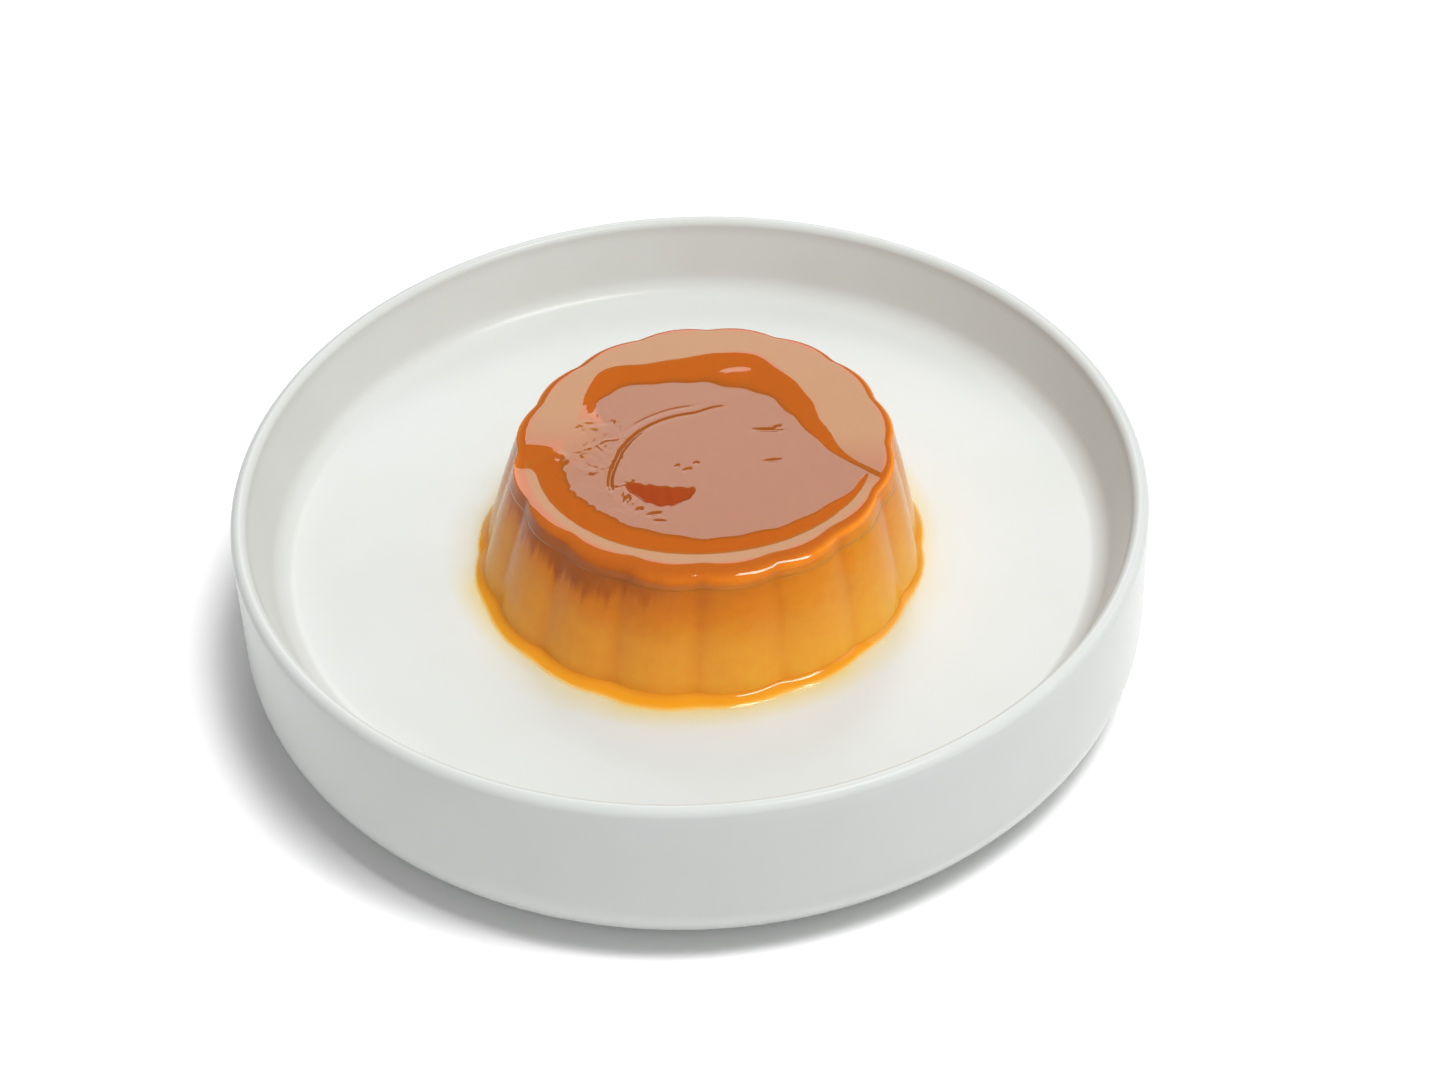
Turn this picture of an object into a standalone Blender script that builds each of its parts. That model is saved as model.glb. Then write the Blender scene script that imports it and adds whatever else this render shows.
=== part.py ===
"""Caramel pudding turned out on its own low round plate, in metres, +Z up.

The origin is on the plate's axis, at the level of the surface that the plate stands on.
Sub-parts, from the ground up:
  plate        glazed porcelain, straight outer wall, raised floor, hollow underside
  syrup_pool   thin ring of caramel syrup that has run down round the pudding's foot
  custard      fluted, tapered body of set custard
  caramel_top  caramel-soaked layer across the top, with the rounded edge, the rim that
               falls a little towards the front, and the level middle
"""
import math

import bmesh
import bpy

MM = 0.001

# plate
PLATE_RADIUS = 80.0 * MM
PLATE_HEIGHT = 35.0 * MM
PLATE_STEPS = 72
BOTTOM_ROUNDING = 13.0 * MM
LIP_THICKNESS = 2.8 * MM
FLOOR_TOP = 22.4 * MM
FLOOR_THICKNESS = 5.0 * MM
WALL_LEAN = math.radians(22.0)
FLOOR_FILLET = 4.5 * MM
SKIRT_THICKNESS = 4.6 * MM
FOOT_WIDTH = 4.0 * MM

# pudding
PUDDING_X = 1.6 * MM
PUDDING_Y = -3.0 * MM
PUDDING_HEIGHT = 25.0 * MM
FLUTES = 16
STEPS_PER_FLUTE = 6
FIRST_VALLEY = math.radians(19.5)
FLUTE_DEPTH = 0.9 * MM
FOOT_RADIUS = 38.0 * MM
SHOULDER_RADIUS = 33.0 * MM
SHOULDER_DROP = 3.0 * MM
SIDE_EDGE_ROUNDING = 1.8 * MM
FRONT_EDGE_ROUNDING = 4.1 * MM
LEAN_X = 1.5 * MM
LEAN_Y = -0.4 * MM
CARAMEL_THICKNESS = 4.6 * MM
DISH_DEPTH = 1.0 * MM
FRONT_DROP = 1.7 * MM
DISH_RADIUS = 26.0 * MM
DISH_SLOPE = 7.0 * MM
DISH_OFFSET_Y = -0.6 * MM

# syrup pool
POOL_HEIGHT = 1.5 * MM
POOL_REACH = 2.2 * MM
POOL_EDGE = 0.35 * MM
POOL_SHIFT_X = 0.0 * MM
POOL_SHIFT_Y = -1.0 * MM
POOL_UNEVENNESS = 0.35 * MM

# clearance that touching solids keep
GAP = 0.3 * MM

PUDDING_BOTTOM = FLOOR_TOP + GAP
PUDDING_TOP = FLOOR_TOP + PUDDING_HEIGHT
CUSTARD_TOP = PUDDING_TOP - CARAMEL_THICKNESS


def clear_scene():
    """Remove every object that is in the open file."""
    for item in list(bpy.data.objects):
        bpy.data.objects.remove(item, do_unlink=True)


def material(name, colour, roughness, metallic=0.0):
    """Make a Principled BSDF material."""
    made = bpy.data.materials.new(name)
    made.use_nodes = True
    shader = made.node_tree.nodes["Principled BSDF"]
    shader.inputs["Base Color"].default_value = (*colour, 1.0)
    shader.inputs["Roughness"].default_value = roughness
    shader.inputs["Metallic"].default_value = metallic
    return made


def finish(name, bm, look, sharp=math.radians(40.0)):
    """Turn a bmesh into a smooth-shaded object with its faces pointing out."""
    bmesh.ops.remove_doubles(bm, verts=bm.verts, dist=1e-6)
    bmesh.ops.recalc_face_normals(bm, faces=bm.faces)
    mesh = bpy.data.meshes.new(name)
    bm.to_mesh(mesh)
    bm.free()
    mesh.materials.append(look)
    mesh.shade_smooth()
    mesh.set_sharp_from_angle(angle=sharp)
    made = bpy.data.objects.new(name, mesh)
    bpy.context.scene.collection.objects.link(made)
    return made


def arc(centre_r, centre_z, radius, start, end, steps):
    """Points (r, z) along an arc; angles in degrees from the +r axis towards +z."""
    turn = [math.radians(start + (end - start) * i / steps) for i in range(steps + 1)]
    return [(centre_r + radius * math.cos(a), centre_z + radius * math.sin(a)) for a in turn]


# --- plate -----------------------------------------------------------------------------

def plate_profile():
    """Section of the plate as (r, z) points, from the floor's centre round to the roof's."""
    lip = LIP_THICKNESS / 2
    lip_z = PLATE_HEIGHT - lip
    # the inner wall leans in from the lip and would meet the floor at this radius
    wall_foot = PLATE_RADIUS - LIP_THICKNESS - (lip_z - FLOOR_TOP) * math.tan(WALL_LEAN)
    # centre of the fillet that is tangent to the floor and to the leaning wall
    tangent = FLOOR_FILLET * math.tan((math.pi / 2 - WALL_LEAN) / 2)
    fillet_r = wall_foot - tangent
    fillet_z = FLOOR_TOP + FLOOR_FILLET
    wall_turn = -math.degrees(WALL_LEAN)
    foot_outer = PLATE_RADIUS - BOTTOM_ROUNDING
    foot_inner = foot_outer - FOOT_WIDTH
    hollow = BOTTOM_ROUNDING - SKIRT_THICKNESS
    roof = FLOOR_TOP - FLOOR_THICKNESS
    hollow_fillet = 3.0 * MM
    hollow_wall = foot_outer + hollow

    inside = [(0.0, FLOOR_TOP), (fillet_r * 0.55, FLOOR_TOP)]
    inside += arc(fillet_r, fillet_z, FLOOR_FILLET, -90.0, wall_turn, 5)
    rim = arc(PLATE_RADIUS - lip, lip_z, lip, 180.0, 0.0, 6)
    outside = arc(foot_outer, BOTTOM_ROUNDING, BOTTOM_ROUNDING, 0.0, -90.0, 8)
    underside = [(foot_inner, 0.0), (foot_inner, SKIRT_THICKNESS)]
    underside += arc(foot_outer, BOTTOM_ROUNDING, hollow, -90.0, 0.0, 4)
    underside += arc(hollow_wall - hollow_fillet, roof - hollow_fillet, hollow_fillet, 0.0, 90.0, 3)
    underside += [(fillet_r * 0.55, roof), (0.0, roof)]
    return inside + rim + outside + underside


def make_plate(look):
    """Turn the plate's section once round the upright axis."""
    bm = bmesh.new()
    points = [bm.verts.new((r, 0.0, z)) for r, z in plate_profile()]
    edges = [bm.edges.new(pair) for pair in zip(points, points[1:])]
    bmesh.ops.spin(
        bm,
        geom=points + edges,
        cent=(0.0, 0.0, 0.0),
        axis=(0.0, 0.0, 1.0),
        angle=math.tau,
        steps=PLATE_STEPS,
        use_merge=True,
    )
    return finish("plate", bm, look)


# --- pudding ---------------------------------------------------------------------------

def angles():
    """Angles of the points round the pudding, so that each valley has a point of its own."""
    count = FLUTES * STEPS_PER_FLUTE
    return [FIRST_VALLEY + math.tau * i / count for i in range(count)]


def flute(angle):
    """Outward offset of the fluting: a row of parabolic lobes that meet in sharp valleys."""
    place = ((angle - FIRST_VALLEY) / math.tau * FLUTES) % 1.0
    from_crest = 2.0 * place - 1.0
    return FLUTE_DEPTH * (1.0 / 3.0 - from_crest * from_crest)


def rise(z):
    """Share of the way up the pudding, 0 at its foot and 1 at its top."""
    return (z - PUDDING_BOTTOM) / (PUDDING_TOP - PUDDING_BOTTOM)


def pudding_centre(z):
    """Centre of the pudding at a height: it leans a little as it stands."""
    share = rise(z)
    return PUDDING_X + LEAN_X * share, PUDDING_Y + LEAN_Y * share


def side_radius(z):
    """Mean radius of the tapered side at a height."""
    shoulder_share = rise(PUDDING_TOP - SHOULDER_DROP)
    return FOOT_RADIUS + (SHOULDER_RADIUS - FOOT_RADIUS) * rise(z) / shoulder_share


def ring(bm, z, radius, fluting=1.0, height_of=None):
    """Add one closed ring of points; fluting scales the lobes, height_of lowers the points."""
    centre_x, centre_y = pudding_centre(z)
    points = []
    for angle in angles():
        reach = radius + fluting * flute(angle)
        x = centre_x + reach * math.cos(angle)
        y = centre_y + reach * math.sin(angle)
        height = z if height_of is None else height_of(x, y)
        points.append(bm.verts.new((x, y, height)))
    return points


def join_rings(bm, rings):
    """Skin the space between each ring and the next with four-sided faces."""
    for low, high in zip(rings, rings[1:]):
        for i in range(len(low)):
            j = (i + 1) % len(low)
            bm.faces.new((low[i], low[j], high[j], high[i]))


def close_ring(bm, points, height):
    """Close a ring with a fan round a middle point at the given height."""
    centre_x, centre_y = pudding_centre(height)
    middle = bm.verts.new((centre_x, centre_y, height))
    for i, point in enumerate(points):
        bm.faces.new((point, points[(i + 1) % len(points)], middle))


def make_custard(look):
    """Tapered fluted body, from the plate's floor up to the caramel-soaked layer."""
    bm = bmesh.new()
    levels = 5
    heights = [
        PUDDING_BOTTOM + (CUSTARD_TOP - PUDDING_BOTTOM) * i / levels for i in range(levels + 1)
    ]
    rings = [ring(bm, z, side_radius(z)) for z in heights]
    join_rings(bm, rings)
    close_ring(bm, rings[0], PUDDING_BOTTOM)
    close_ring(bm, rings[-1], CUSTARD_TOP)
    return finish("custard", bm, look)


def top_height(x, y):
    """Height of the top: the rim's near the edge, easing into the level middle."""
    centre_x, centre_y = pudding_centre(PUDDING_TOP)
    rim = rim_drop(math.atan2(y - centre_y, x - centre_x))
    distance = math.hypot(x - centre_x, y - centre_y - DISH_OFFSET_Y)
    inward = min(max((DISH_RADIUS - distance) / DISH_SLOPE, 0.0), 1.0)
    eased = inward * inward * (3.0 - 2.0 * inward)
    return PUDDING_TOP - rim - (DISH_DEPTH - rim) * eased


def rim_drop(angle):
    """How far the rim lies below its highest point at the back: most at the front."""
    return FRONT_DROP * (1.0 - math.sin(angle)) / 2.0


def edge_ring(bm, turn):
    """One ring of the rounded edge, turned from upright; the edge is softer at the front."""
    points = []
    for angle in angles():
        softer = (FRONT_EDGE_ROUNDING - SIDE_EDGE_ROUNDING) * max(-math.sin(angle), 0.0) ** 2
        rounding = SIDE_EDGE_ROUNDING + softer
        shoulder = PUDDING_TOP - rounding
        z = shoulder + (rounding - rim_drop(angle)) * math.sin(turn)
        reach = side_radius(shoulder) - rounding * (1.0 - math.cos(turn)) + flute(angle)
        centre_x, centre_y = pudding_centre(z)
        x = centre_x + reach * math.cos(angle)
        y = centre_y + reach * math.sin(angle)
        points.append(bm.verts.new((x, y, z)))
    return points


def make_caramel_top(look):
    """Layer right across the pudding, with the rounded edge and the level middle."""
    bm = bmesh.new()
    bottom = CUSTARD_TOP + GAP
    rings = [ring(bm, bottom, side_radius(bottom))]
    rings += [edge_ring(bm, math.radians(turn)) for turn in (0.0, 20.0, 40.0, 58.0, 76.0)]
    flat_radius = SHOULDER_RADIUS - FRONT_EDGE_ROUNDING
    inner_rings = 8
    for i in range(inner_rings):
        share = 1.0 - i / inner_rings
        rings.append(
            ring(bm, PUDDING_TOP, flat_radius * share, 0.7 * share * share, top_height)
        )
    join_rings(bm, rings)
    close_ring(bm, rings[0], bottom)
    close_ring(bm, rings[-1], PUDDING_TOP - DISH_DEPTH)
    return finish("caramel_top", bm, look)


def pool_reach(angle):
    """How far the pool reaches past the pudding's foot: further at the front left, uneven."""
    drift = POOL_SHIFT_X * math.cos(angle) + POOL_SHIFT_Y * math.sin(angle)
    uneven = 0.6 * math.sin(3.0 * angle + 0.7) + 0.4 * math.sin(7.0 * angle + 2.1)
    return POOL_REACH + drift + POOL_UNEVENNESS * uneven


def pool_ring(bm, z, share):
    """One ring of the pool: share 0 hugs the custard, share 1 is the outer edge."""
    centre_x, centre_y = pudding_centre(PUDDING_BOTTOM)
    points = []
    for angle in angles():
        foot = side_radius(PUDDING_BOTTOM) + flute(angle) * (1.0 - 0.5 * share) + GAP
        reach = foot + share * (pool_reach(angle) - GAP)
        x = centre_x + reach * math.cos(angle)
        y = centre_y + reach * math.sin(angle)
        points.append(bm.verts.new((x, y, z)))
    return points


def make_syrup_pool(look):
    """Ring of syrup: a hollow fillet against the pudding, easing to a thin outer edge."""
    bm = bmesh.new()
    bottom = PUDDING_BOTTOM
    spread = [0.0, 0.3, 0.65, 1.0]
    tops = [bottom + POOL_EDGE + (POOL_HEIGHT - POOL_EDGE) * (1.0 - s) ** 2 for s in spread]
    rings = [pool_ring(bm, bottom, 0.0)]
    rings += [pool_ring(bm, z, s) for z, s in zip(tops, spread)]
    rings += [pool_ring(bm, bottom, 1.0)]
    join_rings(bm, rings + rings[:1])
    return finish("syrup_pool", bm, look)


def main():
    """Build the four sub-parts."""
    clear_scene()
    make_plate(material("porcelain", (0.80, 0.81, 0.78), 0.18))
    make_custard(material("custard", (0.68, 0.29, 0.05), 0.15))
    make_caramel_top(material("caramel", (0.50, 0.15, 0.02), 0.10))
    make_syrup_pool(material("syrup", (0.78, 0.37, 0.03), 0.08))


main()
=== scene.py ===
"""Looks of a caramel pudding on its own low round plate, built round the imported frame.

Every visible piece is a surface worked out on a grid with numpy, in metres, in the frame of
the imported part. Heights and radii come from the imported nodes' boxes, and what the boxes don't
say is a named size of the class that uses it.
"""
import logging
import math
from dataclasses import dataclass, field
from enum import Enum

import bpy
import numpy as np
from mathutils import Matrix, Vector


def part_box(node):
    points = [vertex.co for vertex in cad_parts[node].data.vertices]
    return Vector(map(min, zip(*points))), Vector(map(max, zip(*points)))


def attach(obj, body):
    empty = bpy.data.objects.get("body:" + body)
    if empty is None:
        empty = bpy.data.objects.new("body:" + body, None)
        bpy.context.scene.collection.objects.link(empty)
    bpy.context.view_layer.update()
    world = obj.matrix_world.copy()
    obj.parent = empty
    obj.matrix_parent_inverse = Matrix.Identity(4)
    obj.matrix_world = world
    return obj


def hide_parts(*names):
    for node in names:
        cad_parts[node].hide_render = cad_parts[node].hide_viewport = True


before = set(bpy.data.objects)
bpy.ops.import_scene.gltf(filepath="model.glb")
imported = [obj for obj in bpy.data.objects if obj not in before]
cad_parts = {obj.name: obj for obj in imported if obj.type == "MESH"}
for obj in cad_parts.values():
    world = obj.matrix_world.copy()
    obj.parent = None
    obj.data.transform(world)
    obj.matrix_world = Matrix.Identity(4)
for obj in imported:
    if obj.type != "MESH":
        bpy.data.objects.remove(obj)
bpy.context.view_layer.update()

LOG = logging.getLogger("pudding")
MM = 0.001
BODY = "root"
SOLID_GAP = 0.3 * MM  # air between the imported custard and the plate's floor
SEAM_OVERLAP = 0.6 * MM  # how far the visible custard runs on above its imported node


# --- small shared tools ----------------------------------------------------------------

def smooth_step(value: np.ndarray, low: float, high: float) -> np.ndarray:
    """Ease from 0 at low to 1 at high: 3t squared less 2t cubed, with t clamped.

    Args:
        value: The numbers to ease.
        low: Where the result is 0.
        high: Where the result is 1; it may be below low.

    Returns:
        Numbers from 0 to 1.
    """
    t = np.clip((value - low) / (high - low), 0.0, 1.0)
    return t * t * (3.0 - 2.0 * t)


def climb(t: np.ndarray, soft: float = 0.12) -> np.ndarray:
    """Straight ramp from 0 at t = 0 to 1 at t = 1, with parabolic ends.

    Args:
        t: Place along the ramp.
        soft: Share of the ramp that each end takes.

    Returns:
        Numbers from 0 to 1.
    """
    t = np.clip(t, 0.0, 1.0)
    low_end, high_end = t * t / (2 * soft), 1 - soft - (1 - t) ** 2 / (2 * soft)
    ramp = np.where(t > 1 - soft, high_end, t - soft / 2)
    return np.where(t < soft, low_end, ramp) / (1 - soft)


def bell(distance: np.ndarray, width: float) -> np.ndarray:
    """Bell curve: exp of minus half the squared distance over the width."""
    return np.exp(-0.5 * (distance / width) ** 2)


def turned_off(angle: np.ndarray, centre_deg: float) -> np.ndarray:
    """Signed angle in degrees from a bearing, between -180 and 180."""
    return (np.degrees(angle) - centre_deg + 180.0) % 360.0 - 180.0


def once_round(count: int, start: float = 0.0) -> np.ndarray:
    """Evenly spaced angles once round, from a start angle."""
    return np.linspace(0.0, math.tau, count, endpoint=False) + start


def sines(angle: np.ndarray, *waves: tuple[float, float, float]) -> np.ndarray:
    """Sum of height times sin(count times angle plus phase), for waves of those three."""
    return sum(height * np.sin(count * angle + phase) for height, count, phase in waves)


class Waves:
    """Smooth, repeatable unevenness: a sum of sine waves with seeded directions and phases."""

    def __init__(self, seed: int, count: int, longest: float, shortest: float) -> None:
        """Draw the waves.

        Args:
            seed: Seed of the draw.
            count: How many waves are summed.
            longest: Longest wavelength, in metres.
            shortest: Shortest wavelength, in metres.
        """
        draw = np.random.default_rng(seed)
        lengths = np.geomspace(longest, shortest, count)
        ways = draw.normal(size=(count, 3))
        ways /= np.linalg.norm(ways, axis=1, keepdims=True)
        self.vectors = ways * (math.tau / lengths)[:, None]
        self.phases = draw.uniform(0.0, math.tau, count)
        self.weights = np.sqrt(lengths / longest)
        self.weights /= self.weights.sum()

    def at(self, points: np.ndarray) -> np.ndarray:
        """Value between -1 and 1 at each point: the weighted sum of sin(k . p + phase).

        Args:
            points: Array whose last axis holds x, y and z.

        Returns:
            One number for each point.
        """
        return np.sin(points @ self.vectors.T + self.phases) @ self.weights


class Closing(Enum):
    """How a grid's first and last rings are closed off."""

    POLES = "a point in the middle of each"
    LOOP = "the last ring joins the first"


@dataclass
class Grid:
    """A surface made of rings of points, each ring closed on itself.

    Attributes:
        points: Array (rings, points in a ring, 3), in metres; the way round and the way
            from ring to ring make faces that point outwards.
        closing: How the first and last rings are closed off.
    """

    points: np.ndarray
    closing: Closing = Closing.POLES

    def faces(self) -> tuple[np.ndarray, np.ndarray]:
        """Corner indices of the four-sided faces and of the pole triangles.

        Returns:
            Arrays (n, 4) and (m, 3).
        """
        rings, around = self.points.shape[:2]
        index = np.arange(rings * around).reshape(rings, around)
        looped = self.closing is Closing.LOOP
        low = index if looped else index[:-1]
        high = np.roll(index, -1, axis=0) if looped else index[1:]
        quads = np.stack(
            [low, np.roll(low, -1, 1), np.roll(high, -1, 1), high], axis=-1
        ).reshape(-1, 4)
        if looped:
            return quads, np.zeros((0, 3), int)
        first, last = index[0], index[-1]
        pole = np.full(around, rings * around)
        return quads, np.concatenate([
            np.stack([np.roll(first, -1), first, pole], axis=-1),
            np.stack([last, np.roll(last, -1), pole + 1], axis=-1),
        ])

    def with_poles(self, values: np.ndarray) -> np.ndarray:
        """Values of the grid in one row, and after them each pole's, its ring's mean.

        Args:
            values: Array (rings, points in a ring), or with one more axis.

        Returns:
            One value for each vertex of the mesh.
        """
        row = values.reshape(-1, *values.shape[2:])
        if self.closing is Closing.LOOP:
            return row
        return np.concatenate([row, [values[0].mean(axis=0), values[-1].mean(axis=0)]])

    def build(self, name: str, values: dict[str, np.ndarray] | None = None) -> bpy.types.Object:
        """Make a smooth-shaded object of the surface.

        Args:
            name: The piece's name.
            values: Numbers for each grid point, stored as point attributes by name.

        Returns:
            The object, at the origin, linked to the scene.
        """
        vertices = self.with_poles(self.points)
        quads, fans = self.faces()
        loops = np.concatenate([quads.ravel(), fans.ravel()]).astype(np.int32)
        sizes = np.concatenate([np.full(len(quads), 4), np.full(len(fans), 3)])
        starts = np.concatenate([[0], np.cumsum(sizes)[:-1]]).astype(np.int32)
        mesh = bpy.data.meshes.new(name)
        mesh.vertices.add(len(vertices))
        mesh.vertices.foreach_set("co", vertices.astype(np.float32).ravel())
        mesh.loops.add(len(loops))
        mesh.loops.foreach_set("vertex_index", loops)
        mesh.polygons.add(len(sizes))
        mesh.polygons.foreach_set("loop_start", starts)
        mesh.update(calc_edges=True)
        mesh.validate()
        mesh.shade_smooth()
        for label, numbers in (values or {}).items():
            stored = mesh.attributes.new(label, "FLOAT", "POINT")
            stored.data.foreach_set("value", self.with_poles(numbers).astype(np.float32))
        made = bpy.data.objects.new(name, mesh)
        bpy.context.scene.collection.objects.link(made)
        return made


# --- shader nodes ----------------------------------------------------------------------

Colour = tuple[float, float, float]


class Bench:
    """Lays nodes on one material and joins them to its Principled shader."""

    def __init__(self, name: str) -> None:
        """Start a material with an empty Principled shader.

        Args:
            name: The material's name.
        """
        self.material = bpy.data.materials.new(name)
        self.material.use_nodes = True
        self.tree = self.material.node_tree
        self.shader = self.tree.nodes["Principled BSDF"]
        self.place = self.tree.nodes.new("ShaderNodeTexCoord").outputs["Object"]

    def add(self, kind: str, **settings: object) -> bpy.types.Node:
        """Add a node of a kind, with its settings.

        Args:
            kind: The node's type name.
            settings: Properties of the node, by name.

        Returns:
            The node.
        """
        node = self.tree.nodes.new(kind)
        for label, value in settings.items():
            setattr(node, label, value)
        return node

    def feed(self, socket: bpy.types.NodeSocket, value: object) -> None:
        """Join a socket to another, or set it to a number or a colour.

        Args:
            socket: The input.
            value: An output socket, a number, or a colour of three numbers.
        """
        if isinstance(value, bpy.types.NodeSocket):
            self.tree.links.new(value, socket)
        elif isinstance(value, tuple):
            socket.default_value = (*value, 1.0) if socket.type == "RGBA" else value
        else:
            socket.default_value = value

    def attribute(self, label: str) -> bpy.types.NodeSocket:
        """Number stored on the mesh under a name."""
        return self.add("ShaderNodeAttribute", attribute_name=label).outputs["Fac"]

    def stretched(self, scale: Colour) -> bpy.types.NodeSocket:
        """Object coordinates scaled on each axis.

        Args:
            scale: Factors on x, y and z.

        Returns:
            The vector socket.
        """
        node = self.add("ShaderNodeMapping")
        self.feed(node.inputs["Vector"], self.place)
        node.inputs["Scale"].default_value = scale
        return node.outputs["Vector"]

    def noise(
        self,
        scale: float,
        detail: float = 2.0,
        rough: float = 0.5,
        vector: bpy.types.NodeSocket | None = None,
    ) -> bpy.types.NodeSocket:
        """Noise between 0 and 1.

        Args:
            scale: Waves in a metre.
            detail: Octaves.
            rough: Share that each finer octave keeps.
            vector: Coordinates; the object's own if left out.

        Returns:
            The factor socket.
        """
        node = self.add("ShaderNodeTexNoise")
        self.feed(node.inputs["Vector"], vector or self.place)
        node.inputs["Scale"].default_value = scale
        node.inputs["Detail"].default_value = detail
        node.inputs["Roughness"].default_value = rough
        return node.outputs["Fac"]

    def ramp(
        self, factor: bpy.types.NodeSocket, stops: list[tuple[float, Colour]]
    ) -> bpy.types.NodeSocket:
        """Colour read off a ramp at a factor.

        Args:
            factor: Where to read, from 0 to 1.
            stops: Pairs of place and colour, in order.

        Returns:
            The colour socket.
        """
        node = self.add("ShaderNodeValToRGB")
        bar = node.color_ramp.elements
        while len(bar) < len(stops):
            bar.new(1.0)
        for element, (place, colour) in zip(bar, stops):
            element.position = place
            element.color = (*colour, 1.0)
        self.feed(node.inputs["Fac"], factor)
        return node.outputs["Color"]

    def range(
        self,
        value: bpy.types.NodeSocket,
        low: float,
        high: float,
        to_low: float = 0.0,
        to_high: float = 1.0,
    ) -> bpy.types.NodeSocket:
        """Number carried smoothly from one range to another, clamped.

        Args:
            value: The number.
            low: Where the result is to_low.
            high: Where the result is to_high.
            to_low: First end of the result.
            to_high: Last end of the result.

        Returns:
            The result's socket.
        """
        node = self.add("ShaderNodeMapRange", interpolation_type="SMOOTHSTEP")
        self.feed(node.inputs["Value"], value)
        for label, number in zip(
            ("From Min", "From Max", "To Min", "To Max"), (low, high, to_low, to_high)
        ):
            node.inputs[label].default_value = number
        return node.outputs["Result"]

    def mottled(
        self, value: bpy.types.NodeSocket, scale: float, spread: float
    ) -> bpy.types.NodeSocket:
        """Number with cloudy noise added.

        Args:
            value: The number's socket.
            scale: Waves of the noise in a metre.
            spread: The most that it adds or takes away.

        Returns:
            The sum's socket.
        """
        node = self.add("ShaderNodeMath", operation="ADD")
        self.feed(node.inputs[0], value)
        noise = self.noise(scale, 4.0, 0.6)
        self.feed(node.inputs[1], self.range(noise, 0.3, 0.7, -spread, spread))
        return node.outputs["Value"]

    def mix(self, factor: object, a: object, b: object) -> bpy.types.NodeSocket:
        """Two colours mixed.

        Args:
            factor: Share of the second.
            a: First colour or socket.
            b: Second colour or socket.

        Returns:
            The colour socket.
        """
        node = self.add("ShaderNodeMix", data_type="RGBA", blend_type="MIX")
        self.feed(node.inputs["Factor"], factor)
        self.feed(node.inputs[6], a)
        self.feed(node.inputs[7], b)
        return node.outputs[2]

    def bump(
        self,
        height: bpy.types.NodeSocket,
        distance: float,
        strength: float = 1.0,
        under: bpy.types.NodeSocket | None = None,
    ) -> bpy.types.NodeSocket:
        """Normal tilted by a height map.

        Args:
            height: Height from 0 to 1.
            distance: Height of 1 in metres.
            strength: Share of the effect.
            under: Normal of a coarser bump below this one.

        Returns:
            The normal socket.
        """
        node = self.add("ShaderNodeBump")
        self.feed(node.inputs["Height"], height)
        node.inputs["Distance"].default_value = distance
        node.inputs["Strength"].default_value = strength
        if under is not None:
            self.feed(node.inputs["Normal"], under)
        return node.outputs["Normal"]

    def gloss(self, roughness: float, ior: float) -> None:
        """Set the shader's gloss."""
        self.shader.inputs["Roughness"].default_value = roughness
        self.shader.inputs["IOR"].default_value = ior

    def glow(self, weight: float, radius: Colour, scale: float) -> None:
        """Set how far light wanders under the surface.

        Args:
            weight: Share of the light that goes in.
            radius: Reach of red, green and blue, as shares of scale.
            scale: Reach of 1, in metres.
        """
        self.shader.inputs["Subsurface Weight"].default_value = weight
        self.shader.inputs["Subsurface Radius"].default_value = radius
        self.shader.inputs["Subsurface Scale"].default_value = scale


@dataclass(frozen=True)
class PorcelainFinish:
    """Glossy off-white glaze over a cream body, bare and matt under the foot ring."""

    glaze: Colour = (0.595, 0.615, 0.60)
    pooled: Colour = (0.58, 0.60, 0.575)
    bare: Colour = (0.52, 0.50, 0.45)
    stain: Colour = (0.60, 0.50, 0.21)
    roughness: float = 0.24
    bare_roughness: float = 0.75
    ior: float = 1.34

    def material(self) -> bpy.types.Material:
        """Glaze with faint clouding, a slow wave in its surface, and a bare foot.

        Returns:
            The material, which reads the mesh's own bare_foot and syrup_stain numbers.
        """
        bench = Bench("glazed_porcelain")
        clouds = bench.range(bench.noise(38.0, 3.0, 0.55), 0.35, 0.7)
        colour = bench.mix(clouds, self.glaze, self.pooled)
        colour = bench.mix(bench.attribute("syrup_stain"), colour, self.stain)
        foot = bench.attribute("bare_foot")
        bench.feed(bench.shader.inputs["Base Color"], bench.mix(foot, colour, self.bare))
        bench.gloss(self.roughness, self.ior)
        rough = bench.range(foot, 0.0, 1.0, self.roughness, self.bare_roughness)
        bench.feed(bench.shader.inputs["Roughness"], rough)
        wave = bench.bump(bench.noise(55.0, 1.0, 0.4), 0.12 * MM, 0.5)
        bench.feed(bench.shader.inputs["Normal"], wave)
        return bench.material


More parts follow.
